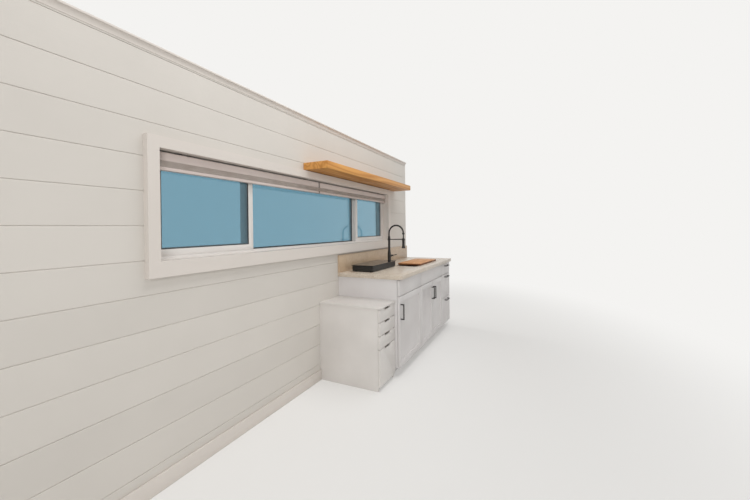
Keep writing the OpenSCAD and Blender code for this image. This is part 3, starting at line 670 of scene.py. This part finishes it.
def fitStrips(steps=10):
    lo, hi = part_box("crown_trim")
    nose, foot, under = strips["round"], strips["foot"], hi.z - strips["lip"]
    deep, tall = hi.y - lo.y - foot, under - lo.z
    turns = [math.pi / 2 * i / steps for i in range(steps + 1)]
    hollow = [(hi.y - foot - deep * (1 - math.cos(a)), lo.z + tall * math.sin(a)) for a in turns]
    low = [(lo.y + nose * (1 - math.sin(a)), under + nose * (1 - math.cos(a))) for a in turns[::2]]
    high = [(lo.y + nose * (1 - math.cos(a)), hi.z - nose * (1 - math.sin(a))) for a in turns[::2]]
    profile = [(hi.y, lo.z)] + hollow[:-1] + low + high + [(hi.y, hi.z)]
    bm = bmesh.new()
    addRings(bm, [[(x, y, z) for y, z in profile] for x in (lo.x, hi.x)])
    addPiece("crownTrim", bm, "trim", 40, ("crown_trim",))
    frontLo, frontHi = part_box("false_fronts")
    edgeHi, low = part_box("drawer_cabinet")[1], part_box("worktop")[0].z
    bm = bmesh.new()
    addBox(bm, (frontLo.x, frontLo.y + strips["back"], low - strips["batten"]), (edgeHi.x, frontHi.y, low))
    addPiece("worktopBatten", bm, "cabinet")


fitStrips()

# Dark boards round the outside of the window, the upright ones between the other two
trimBoards = inMetres({"width": 90, "joint": 1, "edge": 3})


def nailTrim():
    lo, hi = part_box("outer_trim")
    width, joint = trimBoards["width"], trimBoards["joint"]
    bm = bmesh.new()
    for z in (lo.z, hi.z - width):
        addBox(bm, (lo.x, lo.y, z), (hi.x, hi.y, z + width))
    for x in (lo.x, hi.x - width):
        addBox(bm, (x, lo.y, lo.z + width + joint), (x + width, hi.y, hi.z - width - joint))
    roundEdges(bm, bm.edges[:], trimBoards["edge"])
    addPiece("outerTrim", bm, "darkTrim", 25, ("outer_trim",))


nailTrim()

# Double glazing: two sheets with a spacer bar between, and a rubber gasket round each side
glazing = inMetres({
    "sheet": 4, "spacer": 9, "gasket": 4, "proud": 1.5,
    "weepLong": 32, "weepTall": 5, "weepRise": 12, "weepInset": 180, "weepDeep": 1, "weepProud": 0.3,
})


def glazePanes():
    sheets, spacers, gasketsAndSlotShade = bmesh.new(), bmesh.new(), bmesh.new()
    sheet, proud = glazing["sheet"], glazing["proud"]
    for lo, hi in solidBoxes("window_glass"):
        addBox(sheets, lo, (hi.x, lo.y + sheet, hi.z))
        addBox(sheets, (lo.x, hi.y - sheet, lo.z), hi)
        for bm, width, near, far in (
            (spacers, glazing["spacer"], lo.y + sheet, hi.y - sheet),
            (gasketsAndSlotShade, glazing["gasket"], lo.y - proud, lo.y),
            (gasketsAndSlotShade, glazing["gasket"], hi.y, hi.y + proud),
        ):
            inset = Vector((width, 0, width))
            addFrame(bm, (lo, hi), (lo + inset, hi - inset), near, far)
    # Drain slots in the outer face of the frame, near both ends of its sill, drawn as black boxes a little
    # proud of the face: their black is painted shade of the openings
    lo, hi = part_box("window_frame")
    low = lo.z + glazing["weepRise"]
    for x in (lo.x + glazing["weepInset"], hi.x - glazing["weepInset"]):
        addBox(
            gasketsAndSlotShade, (x, hi.y - glazing["weepDeep"], low),
            (x + glazing["weepLong"], hi.y + glazing["weepProud"], low + glazing["weepTall"])
        )
    addPiece("glassSheets", sheets, "glass", replaced=("window_glass",))
    addPiece("spacerBars", spacers, "spacer")
    addPiece("glazingGasketsAndSlotShade", gasketsAndSlotShade, "rubber")


glazePanes()
print("window glazed")


# Folded cloth: a line that runs to and fro with flat folds, drawn out to the blind's width
def pleatTree():
    tree, given = newTree("foldedCloth", Float="width depth step flat", Int="folds")
    count = times(tree, given["folds"], 2)
    line = addNode(tree, "GeometryNodeMeshLine", {"Count": count, "Offset": (0, 0, 0)})
    index = addNode(tree, "GeometryNodeInputIndex")
    fold = doMath(tree, "FLOOR", doMath(tree, "DIVIDE", index, 2))
    within = times(tree, doMath(tree, "MODULO", index, 2), given["flat"])
    back = times(tree, doMath(tree, "MODULO", fold, 2), given["depth"])
    rise = doMath(tree, "MULTIPLY_ADD", fold, given["step"], within)
    place = joinXYZ(tree, {1: back, 2: rise})
    zigzag = addNode(tree, "GeometryNodeSetPosition", {"Geometry": line, "Position": place})
    drawn = addNode(tree, "GeometryNodeExtrudeMesh", {
        "Mesh": zigzag, "Offset": joinXYZ(tree, {0: 1.0}), "Offset Scale": given["width"],
    }, mode="EDGES")
    return endTree(tree, drawn, given)


# The clips hold the headrails under the head of the opening; their dark grey, and that of the rails' end
# caps, is partly their own colour and partly painted shade of the gap over the headrails
blind = {"folds": 25, "flatShare": 0.7, **inMetres({
    "cloth": 0.3, "edge": 3, "cap": 3, "capProud": 0.6,
    "clipTall": 10, "clipLong": 30, "clipInset": 150, "clipBack": 6,
})}


def makeBlindRails():
    railLo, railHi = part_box("blind_rails")
    clipLong, inset, grow = blind["clipLong"], blind["clipInset"], blind["capProud"]
    top = railHi.z - blind["clipTall"]
    rails, ends = bmesh.new(), bmesh.new()
    for lo, hi in solidBoxes("blind_pleats"):
        for low, high in ((hi.z, top), (railLo.z, lo.z)):
            addBox(rails, (lo.x, railLo.y, low), (hi.x, railHi.y, high))
            for x in (lo.x, hi.x - blind["cap"]):
                addBox(ends, (x, railLo.y - grow, low), (x + blind["cap"], railHi.y + grow, high))
        for x in (lo.x + inset, hi.x - inset - clipLong):
            addBox(ends, (x, railLo.y + blind["clipBack"], top), (x + clipLong, railHi.y, railHi.z))
    long = [e for e in rails.edges if abs(e.verts[0].co.x - e.verts[1].co.x) > blind["cap"]]
    roundEdges(rails, long, blind["edge"], segments=3)
    addPiece("blindRails", rails, "blindRail", 40, ("blind_rails",))
    addPiece("blindClips", ends, "clipGreyAndShade")


def hangBlinds():
    thick = blind["cloth"]
    for name, (lo, hi) in zip(("leftCloth", "rightCloth"), solidBoxes("blind_pleats")):
        depth, step = hi.y - lo.y - 2 * thick, (hi.z - lo.z - 2 * thick) / blind["folds"]
        flat = step * blind["flatShare"]
        piece = runTree(name, pleatTree(), "blindFabric", {
            **blind, "width": hi.x - lo.x, "depth": depth, "step": step, "flat": flat,
        })
        piece.data.transform(Matrix.Translation((lo.x, lo.y + thick, lo.z + thick)))
        bm = bmesh.new()
        bm.from_mesh(piece.data)
        bmesh.ops.recalc_face_normals(bm, faces=bm.faces)
        bmesh.ops.solidify(bm, geom=bm.faces, thickness=thick)
        bmesh.ops.recalc_face_normals(bm, faces=bm.faces)
        # Solidify adds the hem's faces in no fixed order, so they are sorted to come out the same each time
        bm.verts.index_update()
        ordered = sorted(bm.faces, key=lambda face: sorted(vert.index for vert in face.verts))
        for i, face in enumerate(ordered):
            face.index = i
        bm.faces.sort()
        bm.to_mesh(piece.data)
        bm.free()
        settle(piece, "wall", "blindFabric", ("blind_pleats",))


makeBlindRails()
hangBlinds()
print("blinds hung")

# Pressed steel bowl, and the strainer in its floor with two rings of drain holes drawn as black discs of
# painted shade, in millimetres
sink = {
    "cup": 20, "floor": 2, "strainer": 38, "ringShares": (0.4, 0.66), "holes": 12, "hole": 2.5,
    "edge": 0.9, "lift": 0.2,
}


def fitSink():
    bowl = eased("sink_bowl", "sinkBowl", sink["edge"] * mm)
    settle(bowl, "wall", "steel", ("sink_bowl",))
    lo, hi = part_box("sink_bowl")
    floor = lo.z + (sink["cup"] + sink["floor"]) * mm
    foot = Matrix.Translation(((lo.x + hi.x) / 2, (lo.y + hi.y) / 2, floor))
    radius, lift = sink["strainer"], sink["lift"]
    bm = bmesh.new()
    addTurned(bm, [(radius, 0), (radius, 1.2), (radius - 4, 1.6), (radius - 6, lift)], foot)
    addTurned(bm, [(5, lift), (5, 12), (7, 13), (7, 16)], foot)
    addPiece("strainer", bm, "steel", 40)
    # Black discs on the strainer stand for the drain holes: painted shade of the drain's dark inside
    rings = [circle(radius * share, sink["holes"], lift) for share in sink["ringShares"]]
    spots = [point * mm for ring in rings for point in ring]
    addPegs("drainHoleShadeDiscs", spots, foot, sink["hole"] * mm, lift * mm, "rubber")


fitSink()
print("sink fitted")


# Coil spring: a helix of wire round the line that it is given
def springTree():
    tree, given = newTree("coilSpring", Float="turns coil wire", Int="perTurn")
    path = addNode(tree, "GeometryNodeMeshToCurve", {0: given["Geometry"]})
    count = times(tree, given["turns"], given["perTurn"])
    even = addNode(tree, "GeometryNodeResampleCurve", {"Curve": path, "Count": count})
    share = addNode(tree, "GeometryNodeSplineParameter")
    angle = times(tree, times(tree, share, given["turns"]), math.tau)
    # The line has one X throughout, so X is square to it everywhere
    across = joinXYZ(tree, {0: 1.0})
    ahead = addNode(tree, "GeometryNodeInputTangent")
    side = addNode(tree, "ShaderNodeVectorMath", {0: ahead, 1: across}, operation="CROSS_PRODUCT")
    offsets = []
    for wave, direction in (("COSINE", across), ("SINE", side)):
        reach = times(tree, doMath(tree, wave, angle), given["coil"])
        scaled = {0: direction, "Scale": reach}
        offsets.append(addNode(tree, "ShaderNodeVectorMath", scaled, operation="SCALE"))
    shift = addNode(tree, "ShaderNodeVectorMath", dict(enumerate(offsets)), operation="ADD")
    helix = addNode(tree, "GeometryNodeSetPosition", {"Geometry": even, "Offset": shift})
    section = addNode(tree, "GeometryNodeCurvePrimitiveCircle", {"Resolution": 8, "Radius": given["wire"]})
    wire = addNode(
        tree, "GeometryNodeCurveToMesh", {"Curve": helix, "Profile Curve": section, "Fill Caps": True}
    )
    return endTree(tree, wire, given)


# Tap, in millimetres: heights are above the worktop, and "arm" is the middle of the bar that holds the head
tap = {
    "foot": 25, "body": 20, "neck": 128, "height": 160, "riser": 14, "sleeve": 15.5, "arm": 290,
    "armHalf": 5, "collar": 18, "springFoot": 330, "bend": 365, "reach": 184, "hose": 7, "wire": 1.9,
    "coil": 9.1, "turns": 42.0, "headFoot": 186, "head": 15, "rim": 22, "headTop": 310, "endCollar": 15,
    "boss": 16.5, "bossEnd": 36, "lever": 90, "rod": 5.2, "rodLength": 80, "lift": 12, "gap": 0.3,
}


def tapLine(foot, low, end, steps=5, turns=40):
    radius, bend = tap["reach"] / 2, tap["bend"]
    points = [(0, low + (bend - low) * i / steps) for i in range(steps)]
    for i in range(turns + 1):
        angle = math.pi * i / turns
        points.append((radius * (math.cos(angle) - 1), bend + radius * math.sin(angle)))
    if end < bend:
        points += [(-tap["reach"], bend + (end - bend) * i / steps) for i in range(1, steps + 1)]
    return [foot + Vector((0, y, z)) * mm for y, z in points]


def makeTapBody(upright, sideways):
    top, neck, body, sleeve = tap["height"], tap["neck"], tap["body"], tap["sleeve"]
    foot, boss, bossEnd = tap["foot"], tap["boss"], tap["bossEnd"]
    bm = bmesh.new()
    addTurned(bm, [
        (foot, 0), (foot, 3), (foot - 1, 4.5), (body + 1, 5.5), (body, 7), (body, 60), (body - 0.8, 61),
        (body - 0.8, 62.5), (body, 63.5), (body, neck - 4), (body - 0.8, neck), (body - 3, neck + 12),
        (sleeve + 0.6, top - 8), (sleeve, top - 5), (sleeve, top - 0.8), (sleeve - 0.8, top),
    ], upright, steps=56)
    addTurned(bm, [(boss, 8), (boss, bossEnd - 1), (boss - 1, bossEnd)], sideways)
    addPiece("tapBody", bm, "blackMetal", 35, ("tap_body",))


def makeTapLever(foot, sideways):
    boss, rod, length = tap["boss"], tap["rod"], tap["rodLength"]
    hub = tap["bossEnd"] + tap["gap"]
    bm = bmesh.new()
    disc = [(boss - 0.8, hub), (boss, hub + 0.8), (boss, hub + 10.5), (boss - 1.5, hub + 12)]
    addTurned(bm, disc, sideways)
    tilt = math.radians(tap["lift"])
    ahead = Vector((0, -math.cos(tilt), math.sin(tilt)))
    root = Matrix.Translation(foot + Vector((hub + 6, 0, tap["lever"])) * mm)
    addTurned(bm, [
        (rod, 10), (rod, boss + 1), (rod + 4, boss + 3), (rod + 4, boss + 14), (rod * 0.85, boss + 17),
        (rod * 0.85, length * 0.72), (rod, length * 0.75), (rod, length - 1.2), (rod - 1.2, length)
    ], root @ ahead.to_track_quat("Z", "Y").to_matrix().to_4x4(), steps=24)
    addPiece("tapLever", bm, "blackMetal", 35, ("tap_lever",), "tap_lever")


def makeTapSpout(foot, upright):
    top, sleeve, riser, arm, collar = (tap[part] for part in ("height", "sleeve", "riser", "arm", "collar"))
    springFoot, bend, seat = tap["springFoot"], tap["bend"], tap["coil"] + tap["wire"] + 1.5
    bm = bmesh.new()
    addTurned(bm, [
        (sleeve - 0.6, top + tap["gap"]), (sleeve, top + 1), (sleeve, top + 5), (riser, top + 6.3),
        (riser, arm - 12), (collar - 0.8, arm - 10), (collar, arm - 9), (collar, arm + 9),
        (collar - 0.8, arm + 10), (riser, arm + 11.5), (riser, springFoot - 8), (seat, springFoot - 6),
        (seat, springFoot - 0.6), (seat - 0.6, springFoot),
    ], upright)
    over = upright @ Matrix.Translation((0, -tap["reach"] * mm, 0))
    low, head, rim, headTop, hose = (tap[part] for part in ("headFoot", "head", "rim", "headTop", "hose"))
    addTurned(bm, [
        (rim - 5, low + 1.5), (rim - 4, low), (rim - 1.5, low), (rim, low + 1.5), (rim, low + 9),
        (rim - 1, low + 11), (head + 1.5, low + 24), (head, low + 32), (head, low + 58),
        (head - 0.7, low + 59), (head - 0.7, low + 61), (head, low + 62), (head, headTop - 20),
        (hose + 3, headTop - 3), (hose + 1.5, headTop),
    ], over)
    ring, end = head + 3.5, tap["endCollar"]
    addTurned(bm, [
        (head, arm - 8), (ring - 0.8, arm - 8), (ring, arm - 7), (ring, arm + 7), (ring - 0.8, arm + 8),
        (head - 2, arm + 8)
    ], over)
    addTurned(bm, [(end - 2, bend - 16), (end, bend - 14.5), (end, bend - 0.8), (end - 0.8, bend)], over)
    half = tap["armHalf"]
    corners = ((-half, head - tap["reach"], arm - half), (half, -riser, arm + half))
    addBox(bm, *(foot + Vector(corner) * mm for corner in corners))
    addPiece("tapSpout", bm, "blackMetal", 35, ("tap_spout",), "tap_spout")
    bm = bmesh.new()
    addTube(bm, tapLine(foot, springFoot, headTop), hose * mm, steps=20)
    addPiece("tapHose", bm, "hose", 60, body="tap_spout")


def makeTapSpring(foot):
    seat = tap["wire"] + tap["gap"]
    points = tapLine(foot, tap["springFoot"] + seat, tap["bend"])
    points[-1] += Vector((0, 0, seat * mm))
    line = bpy.data.meshes.new("springLine")
    line.from_pydata([tuple(p) for p in points], [(i, i + 1) for i in range(len(points) - 1)], [])
    sizes = {"turns": tap["turns"], "coil": tap["coil"] * mm, "wire": tap["wire"] * mm, "perTurn": 20}
    spring = runTree("tapSpring", springTree(), "blackMetal", sizes, line, smooth=60)
    settle(spring, "tap_spout", "blackMetal", ("tap_spring",))


def fitTap():
    lo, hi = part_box("tap_body")
    foot = Vector((lo.x + tap["foot"] * mm, (lo.y + hi.y) / 2, lo.z))
    upright = Matrix.Translation(foot)
    lever = Matrix.Translation((0, 0, tap["lever"] * mm))
    sideways = upright @ lever @ Matrix.Rotation(math.pi / 2, 4, "Y")
    makeTapBody(upright, sideways)
    makeTapLever(foot, sideways)
    makeTapSpout(foot, upright)
    makeTapSpring(foot)


fitTap()
print("tap fitted")

# Two-ring hob: glass plate over a plastic tray on rubber feet, with rings printed on the glass
hob = {"ringPlaces": (0.27, 0.73), **inMetres({
    "footTall": 6, "footRadius": 15, "glass": 5, "step": 8, "corner": 14, "wideRing": 88, "smallRing": 60,
    "mark": 0.5, "markSunk": 0.3,
})}


def placeHob():
    lo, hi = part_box("hob")
    step, corner, footTall = hob["step"], hob["corner"], hob["footTall"]
    plate = hi.z - hob["glass"]
    bm = bmesh.new()
    addPlate(bm, lo, hi, corner, [
        (1 * mm, plate), (0, plate + 1 * mm), (0, hi.z - 1.2 * mm), (1.2 * mm, hi.z)
    ])
    addPiece("hobGlass", bm, "blackGlass", 40, ("hob",))
    inner = Vector((step, step, 0))
    bm = bmesh.new()
    addPlate(bm, lo + inner, hi - inner, corner, [
        (3 * mm, lo.z + footTall), (0, lo.z + footTall + 3 * mm), (0, plate - 8 * mm),
        (2 * mm, plate - 7 * mm), (2 * mm, plate - 1 * mm), (1 * mm, plate)
    ])
    radius = hob["footRadius"]
    inset = step + corner + radius
    for x in (lo.x + inset, hi.x - inset):
        for y in (lo.y + inset, hi.y - inset):
            foot = [(radius - 2 * mm, 0), (radius, 1 * mm), (radius, footTall + 1 * mm)]
            addTurned(bm, foot, Matrix.Translation((x, y, lo.z)), steps=24, unit=1)
    addPiece("hobTray", bm, "blackPlastic", 40)
    bm = bmesh.new()
    for share in hob["ringPlaces"]:
        centre = Vector((lo.x + (hi.x - lo.x) * share, (lo.y + hi.y) / 2, hi.z - hob["markSunk"]))
        for reach in (hob["wideRing"], hob["smallRing"]):
            ring = [centre + point for point in circle(reach, steps=72)]
            addTube(bm, ring + ring[:1], hob["mark"], steps=6)
    addPiece("hobRings", bm, "greyPrint", 60)


placeHob()
print("hob placed")

# Cup hinges: a dish in the back of each door, and its arm and plate on the cabinet's side, in millimetres
hinge = {
    "cup": 17.5, "sunk": 3.4, "inset": 24, "fromEnd": 90, "side": 15.5, "behind": 6,
    "arm": (7, 62, 14), "plate": (2, 18, 48), "platePlace": 26,
    "screw": 3.2, "screwTall": 1, "screwApart": 16, "screwInset": 9, "edge": 0.6,
}


def fitHinges():
    arms = bmesh.new()
    screws = []
    radius, fromEnd, apart = hinge["cup"], hinge["fromEnd"] * mm, hinge["screwApart"] * mm
    for name, inward in (("hob_door", -1), ("sink_door_left", 1), ("sink_door_right", -1)):
        lo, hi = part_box(name)
        edge = hi.x if inward < 0 else lo.x
        side, near = edge + inward * hinge["side"] * mm, hi.y + hinge["behind"] * mm
        plate = near + hinge["platePlace"] * mm
        cups = bmesh.new()
        for z in (lo.z + fromEnd, hi.z - fromEnd):
            back = Matrix.Translation((edge + inward * hinge["inset"] * mm, hi.y - hinge["sunk"] * mm, z))
            cup = [(radius, 0), (radius, 3.2), (radius - 1, 3.4), (radius - 3, 3)]
            addTurned(cups, cup, back @ Matrix.Rotation(-math.pi / 2, 4, "X"), steps=32)
            for sizes, y in ((hinge["arm"], near), (hinge["plate"], plate)):
                thick, long, tall = (size * mm for size in sizes)
                x0, x1 = sorted((side, side + inward * thick))
                addBox(arms, (x0, y, z - tall / 2), (x1, y + long, z + tall / 2))
            screwX, screwY = side + inward * hinge["plate"][0] * mm, plate + hinge["screwInset"] * mm
            screws += [(screwX, screwY, z - apart), (screwX, screwY, z + apart)]
        addPiece(camelName(name) + "Cups", cups, "zinc", 40, body=nodes[name]["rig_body"])
    roundEdges(arms, arms.edges[:], hinge["edge"] * mm, segments=1)
    addPiece("hingeArms", arms, "zinc")
    # A peg stands along Z, so the screws are laid out turned, and then turned to face along X
    turn = Matrix.Rotation(math.pi / 2, 4, "Y")
    spots = [tuple(turn.inverted() @ Vector(spot)) for spot in screws]
    addPegs("hingeScrews", spots, turn, hinge["screw"] * mm, hinge["screwTall"] * mm, "zinc")


fitHinges()
print("hinges fitted")

# Camera of the photograph, soft lamps with their spread in degrees, and a floor that fades into the backdrop
camera = {
    "place": (-2.188, -1.842, 1.341), "focalPixels": 337.6, "frameWidth": 750, "frameHeight": 500,
    "axisBelowTop": 229.7, "yaw": 26.15, "pitch": 0.27, "roll": 0.65, "nearest": 0.05, "farthest": 100,
}
lamps = {
    "ceiling": {
        "place": (0.5, -1.5, 4.2), "aim": (0.3, -0.6, 0.8), "size": (4.0, 1.6), "spread": 180, "watts": 68,
    },
    "left": {
        "place": (-4.6, -3.2, 2.2), "aim": (-0.2, -0.2, 1.3), "size": (1.8, 1.8), "spread": 80, "watts": 21,
    },
    "back": {
        "place": (0.6, 5.6, 4.6), "aim": (0, 0, 1.2), "size": (7.0, 4.0), "spread": 120, "watts": 135,
    },
}
backdrop = {
    "colour": "#F4F3F1", "floor": "#EFEEEC", "light": "#F4F2EF", "sky": 0.45,
    "reach": 30, "oval": (0.62, 1, 1), "fadeFrom": 1.6, "fadeTo": 4.2, "nearShare": 0.25,
}


def setCamera():
    data = bpy.data.cameras.new("camera")
    data.sensor_width = 36.0
    data.lens = camera["focalPixels"] * data.sensor_width / camera["frameWidth"]
    data.shift_y = (camera["axisBelowTop"] - camera["frameHeight"] / 2) / camera["frameWidth"]
    data.clip_start, data.clip_end = camera["nearest"], camera["farthest"]
    seat = makeObject("camera", data)
    yaw, pitch, roll = (math.radians(camera[part]) for part in ("yaw", "pitch", "roll"))
    turn = Matrix.Rotation(yaw - math.pi / 2, 4, "Z") @ Matrix.Rotation(math.pi / 2 - pitch, 4, "X")
    seat.matrix_world = Matrix.Translation(camera["place"]) @ turn @ Matrix.Rotation(-roll, 4, "Z")
    bpy.context.scene.camera = seat


def setLamps():
    for name, lamp in lamps.items():
        data = bpy.data.lights.new(name, "AREA")
        data.shape = "RECTANGLE"
        data.size, data.size_y = lamp["size"]
        data.spread = math.radians(lamp["spread"])
        data.energy = lamp["watts"]
        seat = makeObject(name, data)
        seat.location = lamp["place"]
        ahead = Vector(lamp["aim"]) - Vector(lamp["place"])
        seat.rotation_mode = "QUATERNION"
        seat.rotation_quaternion = ahead.to_track_quat("-Z", "Y")
        seat.visible_camera = seat.visible_transmission = False
        seat.visible_glossy = name != "left"


def seenRay(tree):
    path = addNode(tree, "ShaderNodeLightPath").outputs
    straight = doMath(tree, "MAXIMUM", path["Is Camera Ray"], path["Is Glossy Ray"])
    return doMath(tree, "MAXIMUM", straight, path["Is Transmission Ray"])


def setWorld():
    world = bpy.data.worlds.new("studio")
    bpy.context.scene.world = world
    world.use_nodes = True
    tree = world.node_tree
    tree.nodes.clear()
    light, shown = (
        addNode(tree, "ShaderNodeBackground", {"Color": linear(colour), "Strength": strength})
        for colour, strength in ((backdrop["light"], backdrop["sky"]), (backdrop["colour"], 1.0))
    )
    mix = addNode(tree, "ShaderNodeMixShader", {0: seenRay(tree), 1: light, 2: shown})
    addNode(tree, "ShaderNodeOutputWorld", {"Surface": mix})


def layFloor():
    bm = bmesh.new()
    bmesh.ops.create_grid(bm, x_segments=1, y_segments=1, size=backdrop["reach"])
    floor = meshFrom("floor", bm)
    material, tree, shader = newMaterial("pale floor", backdrop["floor"], 0.8)
    place = addNode(tree, "ShaderNodeTexCoord").outputs["Object"]
    # The wall is long, so the floor fades along an oval round it
    oval = addNode(tree, "ShaderNodeMapping", {"Vector": place, "Scale": backdrop["oval"]})
    away = addNode(tree, "ShaderNodeVectorMath", {0: oval}, operation="LENGTH").outputs["Value"]
    fade = addNode(tree, "ShaderNodeMapRange", {
        "Value": away, "From Min": backdrop["fadeFrom"], "From Max": backdrop["fadeTo"],
        "To Min": backdrop["nearShare"],
    }, interpolation_type="SMOOTHSTEP")
    share = times(tree, fade, seenRay(tree))
    glow = addNode(tree, "ShaderNodeEmission", {"Color": linear(backdrop["colour"])})
    mix = addNode(tree, "ShaderNodeMixShader", {0: share, 1: shader, 2: glow})
    feed(tree, tree.nodes["Material Output"], {"Surface": mix})
    floor.data.materials.append(material)


setCamera()
setLamps()
setWorld()
layFloor()
bpy.context.scene.view_settings.view_transform = "Standard"
print("stage set")
